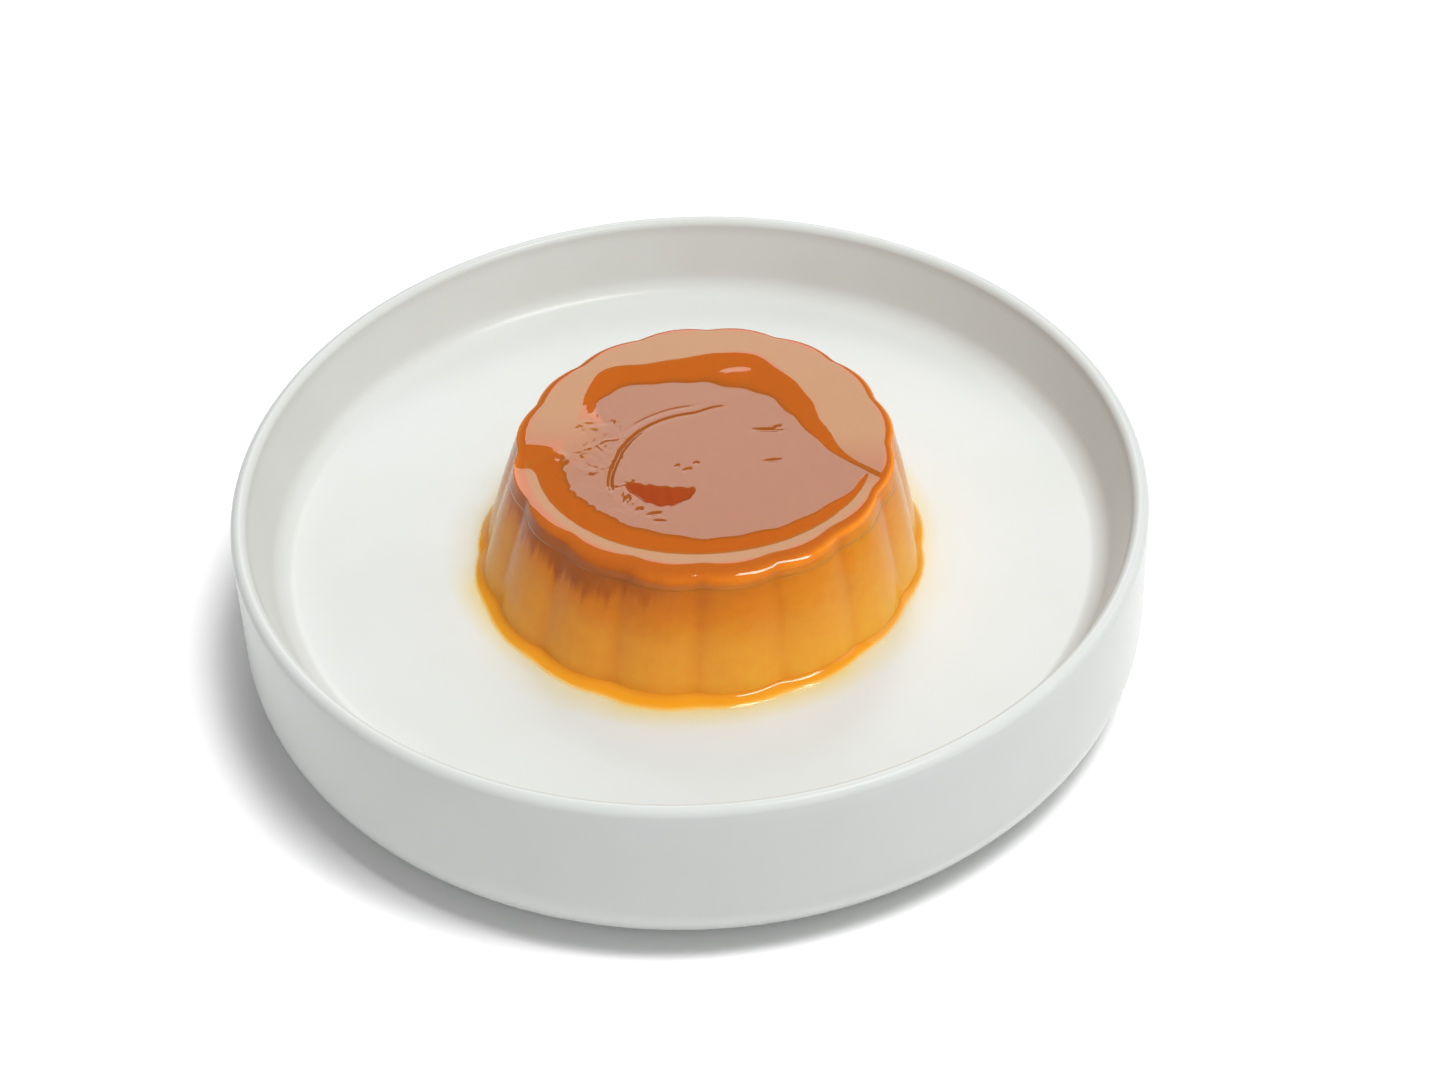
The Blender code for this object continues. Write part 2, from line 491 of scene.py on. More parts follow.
@dataclass(frozen=True)
class CustardFinish:
    """Moist set custard seen through a thin film of caramel, thick above, thin below, with painted
    shade.
    """

    roughness: float = 0.09
    ior: float = 1.36
    glow_share: float = 0.5
    glow_reach: Colour = (1.0, 0.42, 0.10)
    glow_scale: float = 4.0 * MM

    @staticmethod
    def film_colour(bench: Bench) -> bpy.types.NodeSocket:
        """Colour of custard under the mesh's own film depth, which carries painted shade, a little
        mottled.

        Args:
            bench: The material's bench.

        Returns:
            The colour socket.
        """
        return bench.ramp(bench.mottled(bench.attribute("film"), 420.0, 0.03), [
            (0.00, (0.90, 0.45, 0.038)),
            (0.25, (0.86, 0.35, 0.024)),
            (0.50, (0.76, 0.235, 0.013)),
            (0.75, (0.60, 0.155, 0.009)),
            (1.00, (0.42, 0.100, 0.008)),
        ])

    def material(self) -> bpy.types.Material:
        """Colour from the film's depth, with a glossy, faintly upright-streaked skin.

        Returns:
            The material, which reads the mesh's own film numbers.
        """
        bench = Bench("custard_under_caramel")
        bench.feed(bench.shader.inputs["Base Color"], self.film_colour(bench))
        bench.gloss(self.roughness, self.ior)
        bench.glow(self.glow_share, self.glow_reach, self.glow_scale)
        streaks = bench.noise(260.0, 2.0, 0.5, vector=bench.stretched((1.0, 1.0, 0.25)))
        skin = bench.bump(streaks, 0.05 * MM, 0.5)
        fine = bench.bump(bench.noise(1500.0, 3.0, 0.6), 0.02 * MM, 0.25, skin)
        bench.feed(bench.shader.inputs["Normal"], fine)
        return bench.material


@dataclass(frozen=True)
class CaramelFinish:
    """Wet caramel: olive brown where thin on the rim, deep red in the pool's dent, painted lit
    orange on slopes.
    """

    painted_lit_slope: Colour = (0.46, 0.102, 0.006)
    roughness: float = 0.035
    ior: float = 1.47
    glow_share: float = 0.35
    glow_reach: Colour = (1.0, 0.35, 0.08)
    glow_scale: float = 3.0 * MM

    def material(self) -> bpy.types.Material:
        """Colour from the syrup's depth, with a painted lit orange on the slopes, under a
        mirror-like wet skin.

        Returns:
            The material, which reads the mesh's own depth, slope, on_side and film numbers.
        """
        bench = Bench("wet_caramel")
        colour = bench.ramp(bench.mottled(bench.attribute("depth"), 300.0, 0.012), [
            (0.10, (0.38, 0.150, 0.026)),
            (0.45, (0.36, 0.110, 0.012)),
            (0.85, (0.30, 0.078, 0.006)),
            (1.00, (0.33, 0.048, 0.006)),
        ])
        # painted light: slopes, the rounded edge and the step at the left get a brighter, lit
        # orange
        colour = bench.mix(bench.attribute("slope"), colour, self.painted_lit_slope)
        side = CustardFinish.film_colour(bench)
        colour = bench.mix(bench.attribute("on_side"), colour, side)
        bench.feed(bench.shader.inputs["Base Color"], colour)
        bench.gloss(self.roughness, self.ior)
        bench.glow(self.glow_share, self.glow_reach, self.glow_scale)
        fine = bench.bump(bench.noise(700.0, 3.0, 0.55), 0.01 * MM, 0.3)
        bench.feed(bench.shader.inputs["Normal"], fine)
        return bench.material


@dataclass(frozen=True)
class SyrupFinish:
    """Clear amber syrup: orange where it is deep, yellow and see-through where it thins out."""

    roughness: float = 0.04
    ior: float = 1.47
    glow_share: float = 0.2
    glow_reach: Colour = (1.0, 0.6, 0.10)
    glow_scale: float = 0.6 * MM

    def material(self) -> bpy.types.Material:
        """Tinted see-through film that turns into glowing amber as it deepens.

        Returns:
            The material, which reads the mesh's own depth number.
        """
        bench = Bench("amber_syrup")
        depth = bench.attribute("depth")
        colour = bench.ramp(depth, [
            (0.00, (0.86, 0.62, 0.12)),
            (0.12, (0.78, 0.43, 0.036)),
            (0.28, (0.70, 0.29, 0.013)),
            (0.60, (0.66, 0.23, 0.011)),
            (1.00, (0.62, 0.18, 0.010)),
        ])
        bench.feed(bench.shader.inputs["Base Color"], colour)
        bench.gloss(self.roughness, self.ior)
        bench.glow(self.glow_share, self.glow_reach, self.glow_scale)
        bench.feed(bench.shader.inputs["Alpha"], bench.range(depth, 0.02, 0.27))
        return bench.material


# --- plate -----------------------------------------------------------------------------

def arc(
    centre: tuple[float, float], radius: float, start: float, end: float, count: int
) -> np.ndarray:
    """Points along an arc: centre plus radius times (cos a, sin a), a in degrees.

    Args:
        centre: Radius and height of the centre.
        radius: The arc's radius.
        start: First angle, from outwards towards up.
        end: Last angle.
        count: How many points, both ends included.

    Returns:
        Array (count, 2) of radius and height.
    """
    a = np.radians(np.linspace(start, end, count))
    return np.stack([centre[0] + radius * np.cos(a), centre[1] + radius * np.sin(a)], -1)


def line(a: tuple[float, float], b: tuple[float, float], count: int) -> np.ndarray:
    """Points evenly along a straight run from a towards b, the last left out."""
    t = np.linspace(0.0, 1.0, count, endpoint=False)[:, None]
    return np.asarray(a) * (1.0 - t) + np.asarray(b) * t


@dataclass
class Plate:
    """Low round porcelain plate: straight wall, raised floor, hollow underside.

    Attributes:
        radius: Outer radius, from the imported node.
        height: Height of the lip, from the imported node.
        floor: Height of the raised floor that the pudding stands on.
    """

    radius: float
    height: float
    floor: float
    bottom_rounding: float = 13.0 * MM
    lip_thickness: float = 2.8 * MM
    floor_thickness: float = 5.0 * MM
    wall_lean: float = math.radians(22.0)
    floor_fillet: float = 4.5 * MM
    skirt_thickness: float = 4.6 * MM
    foot_width: float = 4.0 * MM
    hollow_fillet: float = 3.0 * MM
    innermost: float = 1.0 * MM
    past_corner: float = 0.3 * MM
    bare_up_to: float = 0.9 * MM
    around: int = 320

    def section(self) -> np.ndarray:
        """Radius and height along the section, from the floor's middle round to the roof's.

        Returns:
            Array (points, 2).
        """
        lip = self.lip_thickness / 2
        lip_z = self.height - lip
        lean_run = (lip_z - self.floor) * math.tan(self.wall_lean)
        wall_foot = self.radius - self.lip_thickness - lean_run
        tangent = self.floor_fillet * math.tan((math.pi / 2 - self.wall_lean) / 2)
        fillet = (wall_foot - tangent, self.floor + self.floor_fillet)
        foot_outer = self.radius - self.bottom_rounding
        foot_inner = foot_outer - self.foot_width
        hollow = self.bottom_rounding - self.skirt_thickness
        roof = self.floor - self.floor_thickness
        bottom = (foot_outer, self.bottom_rounding)
        inner_wall = arc(fillet, self.floor_fillet, -90.0, -math.degrees(self.wall_lean), 10)
        rim = arc((self.radius - lip, lip_z), lip, 180.0, 0.0, 14)
        outside = arc(bottom, self.bottom_rounding, 0.0, -90.0, 18)
        under = arc(bottom, hollow, -90.0, 0.0, 8)
        corner = (foot_outer + hollow - self.hollow_fillet, roof - self.hollow_fillet)
        roof_arc = arc(corner, self.hollow_fillet, 0.0, 90.0, 6)
        return np.concatenate([
            line((self.innermost, self.floor), tuple(inner_wall[0]), 16),
            inner_wall[:-1],
            line(tuple(inner_wall[-1]), tuple(rim[0]), 6),
            rim[:-1],
            line(tuple(rim[-1]), tuple(outside[0]), 8),
            outside,
            line((foot_outer - self.past_corner, 0.0), (foot_inner, 0.0), 4),
            line((foot_inner, 0.0), (foot_inner, self.skirt_thickness), 4),
            under,
            roof_arc,
            line(tuple(roof_arc[-1]), (self.innermost, roof), 6)[1:],
        ])

    def build(self, finish: PorcelainFinish, spill: "SyrupPool") -> bpy.types.Object:
        """Turn the section once round the upright axis.

        Each point is (r cos u, r sin u, z), with u once round.

        Args:
            finish: The glaze.
            spill: The syrup, whose faint stain lies on the glaze round its edge.

        Returns:
            The finished piece.
        """
        section = self.section()
        u = once_round(self.around)
        r, z = section[:, :1], section[:, 1:]
        points = np.stack([r * np.cos(u), r * np.sin(u), z + 0.0 * u], axis=-1)
        bare = smooth_step(points[..., 2], self.bare_up_to, 0.2 * MM)
        stain = spill.stain_at(points) * (points[..., 2] > self.floor - 1.0 * MM)
        values = {"bare_foot": bare, "syrup_stain": stain}
        piece = Grid(points).build("porcelain_plate", values)
        piece.data.flip_normals()
        piece.data.materials.append(finish.material())
        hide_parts("plate")
        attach(piece, BODY)
        return piece


# --- pudding ---------------------------------------------------------------------------

@dataclass
class PuddingForm:
    """The fluted, tapered, slightly leaning form that custard, caramel and syrup share.

    Attributes:
        bottom: Height of its foot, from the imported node.
        top: Height of its crest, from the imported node.
        foot_x: Place of the foot's middle, to the right of the plate's.
        foot_y: Its place to the back.
        lean_x: How far the crest's middle is to the right of the foot's.
        lean_y: How far it is to the back.
        shoulder_drop: How far under the crest the side has its shoulder radius.
        dark_coat_bearing: Where the dark coat of caramel is thickest, in degrees.
        low_coat_bearing: Where the second coat runs down furthest.
        coat_waves: Height and count of the waves in the coats' ends, the three broad ones
            first.
    """

    bottom: float
    top: float
    foot_x: float = 1.6 * MM
    foot_y: float = -3.0 * MM
    lean_x: float = 1.5 * MM
    lean_y: float = -0.4 * MM
    flutes: int = 16
    first_valley: float = math.radians(19.5)
    flute_depth: float = 0.9 * MM
    valley_softness: float = 0.10
    foot_radius: float = 38.4 * MM
    shoulder_radius: float = 33.0 * MM
    shoulder_drop: float = 3.0 * MM
    side_edge_rounding: float = 1.7 * MM
    front_edge_rounding: float = 4.1 * MM
    belly: float = 0.22 * MM
    dark_coat_bearing: float = 222.0
    low_coat_bearing: float = 262.0
    coat_waves: tuple[tuple[float, int], ...] = (
        (0.5, 7), (0.45, 13), (0.4, 23),
        (0.5, 37), (0.45, 61), (0.45, 97), (0.35, 151), (0.25, 233),
    )

    def rise(self, z: np.ndarray) -> np.ndarray:
        """Share of the way up, 0 at the foot and 1 at the crest."""
        return (z - self.bottom) / (self.top - self.bottom)

    def centre(self, z: np.ndarray) -> tuple[np.ndarray, np.ndarray]:
        """Middle of the pudding at a height: the foot's place plus the lean's share."""
        share = self.rise(z)
        return self.foot_x + self.lean_x * share, self.foot_y + self.lean_y * share

    def place_in_lobe(self, u: np.ndarray) -> np.ndarray:
        """Place across a lobe at an angle: 0 and 1 are the valleys on its two sides."""
        return ((u - self.first_valley) / math.tau * self.flutes) % 1.0

    def flute(self, u: np.ndarray) -> np.ndarray:
        """Outward offset of the lobes, which meet in slightly softened valleys.

        With t from 0 in a valley to 1 on a crest, softened near 0, a lobe is the parabola
        t (2 - t), less its mean of two thirds, times the depth.

        Args:
            u: Angle round the pudding.

        Returns:
            The offset at each angle.
        """
        off_valley = 1.0 - np.abs(2.0 * self.place_in_lobe(u) - 1.0)
        soft = np.sqrt(off_valley**2 + self.valley_softness**2) - 0.5 * self.valley_softness
        soft = np.minimum(soft, 1.0)
        return self.flute_depth * (soft * (2.0 - soft) - 2.0 / 3.0)

    def edge_rounding(self, u: np.ndarray) -> np.ndarray:
        """Radius of the rounded edge: it is softer at the front."""
        softer = self.front_edge_rounding - self.side_edge_rounding
        return self.side_edge_rounding + softer * np.clip(-np.sin(u), 0.0, 1.0) ** 2

    def side_radius(self, z: np.ndarray) -> np.ndarray:
        """Mean radius of the side at a height: a straight taper plus half a sine of belly.

        Args:
            z: Height.

        Returns:
            The radius at each height.
        """
        share = self.rise(z) / self.rise(self.top - self.shoulder_drop)
        belly = self.belly * np.sin(np.clip(share, 0.0, 1.0) * math.pi)
        return self.foot_radius + (self.shoulder_radius - self.foot_radius) * share + belly

    def film(self, u: np.ndarray, z: np.ndarray) -> np.ndarray:
        """Depth of the caramel film on the side, 0 to 1, with painted shade: deep under the edge,
        thin below.

        Two coats end in streaks. The first is dark and short, and lies on the left; the
        second reaches halfway down, lowest at the front, and fades out to the right. Waves
        round the pudding, from broad to fine, move both ends up and down. Painted shade is
        added on the left side, away from the lights, and along the foot, most on the left.

        Args:
            u: Angle round the pudding.
            z: Height.

        Returns:
            The depth at each point.
        """
        draw = np.random.default_rng(11)
        drawn = [(*wave, draw.uniform(0.0, math.tau)) for wave in self.coat_waves]
        broad, fine = sines(u, *drawn[:3]), sines(u, *drawn[3:])
        share = self.rise(z)
        off_left = turned_off(u, self.dark_coat_bearing)
        left = bell(off_left, 26.0)
        dark_end = 0.80 - 0.16 * left + 0.035 * broad + 0.045 * fine
        dark = left * smooth_step(share, dark_end - 0.05, dark_end + 0.10)
        front = bell(turned_off(u, self.low_coat_bearing), 42.0)
        mid_end = 0.66 - 0.24 * front + 0.030 * broad + 0.022 * fine
        sharp = 0.10 + 0.45 * smooth_step(turned_off(u, 270.0), -5.0, 50.0)
        mid = smooth_step(share, mid_end - sharp, mid_end + sharp + 0.25)
        valley = bell(np.abs(self.place_in_lobe(u) - 0.5) - 0.5, 0.08)
        # painted shade: darker along the foot, most on the left, away from the lights
        foot = (0.02 + 0.10 * bell(off_left, 55.0)) * smooth_step(share, 0.14, 0.0)
        # deeper film towards the top, plus painted shade on the left side, away from the lights
        film_rise_and_painted_shade = 0.03 + 0.20 * bell(off_left, 42.0) + 0.24 * share
        depth = film_rise_and_painted_shade + 0.30 * mid + 0.34 * dark + foot + 0.09 * valley + 0.012 * fine
        return np.clip(depth, 0.0, 1.0)

    def place(self, u: np.ndarray, z: np.ndarray, radius: np.ndarray) -> np.ndarray:
        """Points at angle u, height z and a radius from the middle at that height."""
        x, y = self.centre(z)
        return np.stack([x + radius * np.cos(u), y + radius * np.sin(u), z + 0.0 * u], axis=-1)


@dataclass
class CustardBody:
    """The pudding's side, from the plate up to the caramel-soaked layer."""

    form: PuddingForm
    top: float
    floor: float
    around: int = 768
    rings: int = 84
    foot_rounding: float = 0.9 * MM
    unevenness: float = 0.12 * MM
    tuck: float = 0.30 * MM

    def build(self, finish: CustardFinish) -> bpy.types.Object:
        """Sweep the fluted outline up the tapered side.

        A point at angle u and height z lies side radius plus flute plus slow waves away
        from the leaning axis. The foot turns in over a small rounding, and the top tucks in
        under the caramel layer.

        Args:
            finish: The custard's finish.

        Returns:
            The finished piece.
        """
        u = once_round(self.around, self.form.first_valley)
        t = np.linspace(0.0, 1.0, self.rings)
        z = (self.floor + (self.top - self.floor) * t)[:, None] + 0.0 * u
        u = u[None, :] + 0.0 * z
        above = np.clip((z - self.floor) / self.foot_rounding, 0.0, 1.0)
        turn_in = self.foot_rounding * (1.0 - np.sqrt(1.0 - (1.0 - above) ** 2))
        radius = self.form.side_radius(z) + self.form.flute(u) - turn_in
        points = self.form.place(u, z, radius)
        waves = Waves(5, 7, 30.0 * MM, 5.0 * MM)
        below_seam = smooth_step(z, self.top - 0.6 * MM, self.top - 4.0 * MM)
        at_top = smooth_step(z, self.top - 0.45 * MM, self.top - 0.1 * MM)
        radius = radius + self.unevenness * waves.at(points) * below_seam
        radius = radius - self.tuck * at_top
        grid = Grid(self.form.place(u, z, radius))
        # the film numbers carry painted shade on the left side and along the foot
        piece = grid.build("custard_body", {"film": self.form.film(u, z)})
        piece.data.materials.append(finish.material())
        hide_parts("custard")
        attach(piece, BODY)
        return piece


@dataclass(frozen=True)
class Pit:
    """Small hollow in the caramel.

    Attributes:
        x: Place to the right of the top's middle, in mm.
        y: Place to the back of it.
        long: Half its length, in mm.
        wide: Half its width, in mm.
        turn: Bearing of its length, in degrees.
        depth: Its depth, in mm; below 0 it is a bump.
    """

    x: float
    y: float
    long: float
    wide: float
    turn: float
    depth: float

    def height(self, x: np.ndarray, y: np.ndarray) -> np.ndarray:
        """Flat-bottomed bell: exp of minus the cube of the distance over the half sizes.

        Args:
            x: To the right of the top's middle, in mm.
            y: To the back of it.

        Returns:
            Heights in mm.
        """
        c, s = math.cos(math.radians(self.turn)), math.sin(math.radians(self.turn))
        along = ((x - self.x) * c + (y - self.y) * s) / self.long
        across = ((y - self.y) * c - (x - self.x) * s) / self.wide
        return -self.depth * np.exp(-((along**2 + across**2) ** 1.5))


@dataclass(frozen=True)
class Slope:
    """A slope between two levels of the wet top, in mm.

    Attributes:
        r: Radius of each place, from the slope's own middle.
        inner: Radius where the slope starts, at each place's bearing.
        outer: Radius where it ends.
        step: How high it is there.
    """

    r: np.ndarray
    inner: np.ndarray
    outer: np.ndarray
    step: np.ndarray

    def height(self) -> np.ndarray:
        """Height over the inner level: the step times a ramp from inner to outer."""
        return self.step * climb((self.r - self.inner) / (self.outer - self.inner))

    def crossed(self) -> np.ndarray:
        """How far past the slope each place is, from 0 to 1."""
        return smooth_step(self.r, self.inner, self.outer)

    def steepness(self) -> np.ndarray:
        """How much each place is on a steep part of the slope.

        Returns:
            From 0, on the level or where it rises less than 1 in 20, to 1.
        """
        width = self.outer - self.inner
        steep = smooth_step(self.step / width, 0.05, 0.10)
        started = smooth_step(self.r, self.inner - 0.2, self.inner + 0.3 * width)
        past = smooth_step(self.r, self.outer - np.minimum(0.2 * width, 0.7), self.outer)
        return steep * started * (1.0 - past)


@dataclass
class TopRelief:
    """Relief of the wet top, in mm, from the top's middle.

    A level pool lies in a shallow dish. At the back the surface climbs to the rim; at the
    front it falls to a narrow level ledge. A curved scratch, a tilted dent, ripples on the
    left and small pits break the mirror.

    Attributes:
        pool_x: Place of the pool's middle, which the back slope goes round.
        pool_y: Its place to the back.
        back_rise: Height of the back rim over the pool.
        front_drop: Depth of the front ledge under the pool.
        ledge: Width of the front ledge.
        rise_shares: Bearings with the share of back_rise that the rim has there; it fades
            out slowly to both sides, so that the rim has no steps along it.
        pits: The small hollows and the bubbles.
    """

    pool_x: float = -0.9
    pool_y: float = 1.1
    back_rise: float = 1.20
    front_drop: float = 0.70
    ledge: float = 1.3
    rise_shares: tuple[tuple[float, float], ...] = (
        (-30.0, 0.0), (40.0, 0.80), (75.0, 1.0), (92.0, 1.0), (147.0, 0.46), (202.0, 0.0),
    )
    pits: tuple[Pit, ...] = (
        Pit(11.0, 3.7, 2.3, 0.45, -8.0, 0.16),
        Pit(12.6, 4.3, 0.9, 0.45, 30.0, 0.12),
        Pit(11.5, -4.5, 1.4, 0.35, 5.0, 0.12),
        Pit(-3.2, -5.8, 0.8, 0.40, 20.0, 0.10),
        Pit(-1.6, -4.2, 0.5, 0.35, 0.0, 0.09),
        Pit(-4.9, -4.7, 0.5, 0.30, 40.0, 0.08),
        Pit(-9.1, -17.0, 1.2, 0.45, 10.0, 0.12),
        Pit(-11.6, -15.6, 0.7, 0.40, 30.0, 0.12),
        Pit(-8.2, -18.9, 1.0, 0.35, -10.0, 0.10),
        Pit(-13.6, -12.8, 1.0, 0.50, 60.0, 0.14),
        Pit(5.6, 18.9, 2.9, 1.2, 6.0, -0.22),
        Pit(-24.9, -1.4, 1.4, 1.3, 0.0, -0.20),
        Pit(-24.9, -1.4, 0.8, 0.7, 0.0, 0.20),
    )

    def back_slope(self, x: np.ndarray, y: np.ndarray) -> Slope:
        """Slope that climbs from the pool to the back rim.

        Its two edges are radii round the pool's middle: constants plus bells at bearings
        where they bulge, and a tail that runs out to the rim at the right.

        Args:
            x: To the right of the top's middle, in mm.
            y: To the back of it.

        Returns:
            The slope at each place.
        """
        px, py = x - self.pool_x, y - self.pool_y
        phi = np.arctan2(py, px)
        uneven = sines(phi, (0.25, 9, 0.6), (0.22, 17, 2.0))
        bearing = turned_off(phi, 90.0) + 90.0
        from_tip = np.clip(bearing + 16.0, -12.0, None)
        inner = 16.6 - 1.1 * bell(bearing - 70.0, 14.0) + 5.5 * smooth_step(bearing, 88.0, 158.0)
        inner = inner + 10.8 * np.exp(-from_tip / 11.0) + uneven
        inner = inner - 7.0 * smooth_step(bearing, 141.0, 168.0)
        outer = 22.6 + 2.8 * bell(bearing - 66.0, 11.0) + 3.7 * bell(bearing - 131.0, 11.0)
        outer = outer - 0.9 * bell(bearing - 11.0, 9.0) + 5.6 * np.exp(-from_tip / 8.0)
        outer = np.maximum(outer + 0.5 * uneven, inner + 0.8)
        bearings, shares = zip(*self.rise_shares)
        step = self.back_rise * np.interp(bearing, bearings, shares)
        return Slope(np.hypot(px, py), inner, outer, step)

    def front_slope(self, x: np.ndarray, y: np.ndarray, rim: np.ndarray) -> Slope:
        """Slope that falls from the pool to the front ledge, from the right round to the left.

        Args:
            x: To the right of the top's middle, in mm.
            y: To the back of it.
            rim: Radius where the rounded edge starts, at the bearing of each place.

        Returns:
            The slope at each place; its step is how far it falls.
        """
        phi = np.arctan2(y, x)
        ragged = sines(phi, (0.22, 61, 0.0), (0.18, 89, 1.0)) * bell(turned_off(phi, 208.0), 18.0)
        inner = 23.9 + 4.6 * bell(turned_off(phi, -10.0), 26.0) + ragged
        inner = inner + sines(phi, (0.20, 11, 0.3), (0.16, 23, 1.4))
        inner = inner + 0.6 * bell(turned_off(phi, 200.0), 16.0)
        inner = inner - 0.7 * bell(turned_off(phi, 240.0), 20.0)
        ledge = self.ledge + 0.8 * bell(turned_off(phi, 272.0), 30.0)
        ledge = ledge * smooth_step(turned_off(phi, 183.0), 0.0, 6.0)
        past_right = -turned_off(phi, -8.0)
        there = climb(past_right / 67.0) * smooth_step(past_right, 178.0, 166.0)
        return Slope(np.hypot(x, y), inner, rim - ledge, self.front_drop * there)

    def ripples(self, x: np.ndarray, y: np.ndarray) -> np.ndarray:
        """Fine ripples on the left and by the dent, over faint slow waves everywhere.

        Args:
            x: To the right of the top's middle, in mm.
            y: To the back of it.

        Returns:
            Heights in mm: short waves on swirled places times bells, plus long waves.
        """
        flat = np.stack([x, y, 0.0 * x], axis=-1)
        swirl_x, swirl_y = (2.8 * Waves(seed, 5, 7.0, 3.0).at(flat) for seed in (3, 4))
        bent = np.stack([x + swirl_x, y + swirl_y, 0.0 * x], axis=-1)
        fine = Waves(34, 20, 6.0, 1.3).at(bent)
        left = np.exp(-(((x + 18.0) / 4.6) ** 2 + ((y - 2.0) / 10.0) ** 2) ** 1.5)
        by_dent = np.exp(-(((x + 14.0) / 3.4) ** 2 + ((y + 11.0) / 4.5) ** 2))
        slow = Waves(8, 5, 24.0, 8.0).at(flat)
        return (0.22 * left + 0.15 * by_dent + 0.003) * fine + 0.012 * slow

    def scratch(self, x: np.ndarray, y: np.ndarray) -> np.ndarray:
        """Curved trough round the pool's left side, with a fainter one outside it.

        Args:
            x: To the right of the top's middle, in mm.
            y: To the back of it.

        Returns:
            Heights in mm: bells across an arc whose radius grows at both ends, and a low
            bank outside it.
        """
        px, py = x + 0.5, y + 6.0
        r = np.hypot(px, py)
        bearing = np.degrees(np.arctan2(py, px)) % 360.0
        path = 15.1 + 2.1 * smooth_step(bearing, 96.0, 74.0)
        path = path + 1.2 * smooth_step(bearing, 163.0, 196.0)
        there = smooth_step(bearing, 70.0, 84.0) * smooth_step(bearing, 200.0, 188.0)
        deep = 0.06 + 0.12 * smooth_step(bearing, 112.0, 150.0)
        outside = smooth_step(bearing, 84.0, 100.0) * smooth_step(bearing, 150.0, 135.0)
        main = -deep * there * bell(r - path, 0.27)
        bank = 0.05 * there * smooth_step(r - path, -0.3, 0.5) * smooth_step(r - path, 5.0, 1.0)
        return main + bank - 0.07 * outside * bell(r - path - 2.0, 0.3)

    def dent(self, x: np.ndarray, y: np.ndarray) -> tuple[np.ndarray, np.ndarray]:
        """Leaf-shaped patch between two parabolas, which falls evenly towards the front.

        Args:
            x: To the right of the top's middle, in mm.
            y: To the back of it.

        Returns:
            Its height in mm, and where it is, from 0 to 1.
        """
        along = (x + 7.9) / 6.1
        uneven = sines(x, (0.16, 2.6, 1.0), (0.06, 4.4, 0.0))
        top = -9.7 - 1.3 * along + 0.5 * along**2 + uneven
        bottom = -15.0 - 1.2 * along + 4.4 * along**2 + uneven
        ends = smooth_step(1.0 - np.abs(along), 0.0, 0.14)
        inside = smooth_step(y - bottom, -0.2, 0.7) * ends * smooth_step(top - y, -0.1, 0.6)
        return -0.16 * np.clip(top - y, 0.0, None) * inside, inside

    def shape(
        self, x: np.ndarray, y: np.ndarray, rim: np.ndarray
    ) -> tuple[np.ndarray, np.ndarray, np.ndarray]:
        """Height of the wet top, depth of its syrup, and where the caramel is painted a lit
        orange.

        The height is the back slope less the front slope, plus the marks, which fade out at
        the rim. The syrup is deep in the pool, deepest in the dent, and thin past a slope.

        Args:
            x: To the right of the top's middle, in mm.
            y: To the back of it.
            rim: Radius where the rounded edge starts, at the bearing of each place.

        Returns:
            Heights over the pool's level in mm; depths, 0 thin on the rim and 1 in the dent;
            and where the caramel is painted a lit orange: 1 on the slopes, on the edge and on
            the step at the left where slopes meet.
        """
        back, front = self.back_slope(x, y), self.front_slope(x, y, rim)
        dent, in_dent = self.dent(x, y)
        marks = self.ripples(x, y) + self.scratch(x, y) + dent
        marks = marks + sum(pit.height(x, y) for pit in self.pits)
        height = back.height() - front.height() + marks * smooth_step(front.r, rim, rim - 2.0)
        thin_back = smooth_step(back.step, 0.0, 0.5) * back.crossed()
        thin_front = smooth_step(front.step, 0.0, 0.2) * front.crossed()
        depth = 0.85 - 0.80 * np.maximum(thin_back, thin_front) + 0.15 * in_dent
        edge = 0.9 * smooth_step(front.r, rim - 0.2, rim + 0.3)
        bearing = turned_off(np.arctan2(y, x), 179.0)
        left_step = bell(bearing, 4.5) * smooth_step(front.r, 23.5, 25.5)
        # mask of painted light: where the caramel gets the brighter, lit orange
        slope = np.maximum.reduce([back.steepness(), front.steepness(), edge, left_step])
        return height, np.clip(depth, 0.0, 1.0), slope


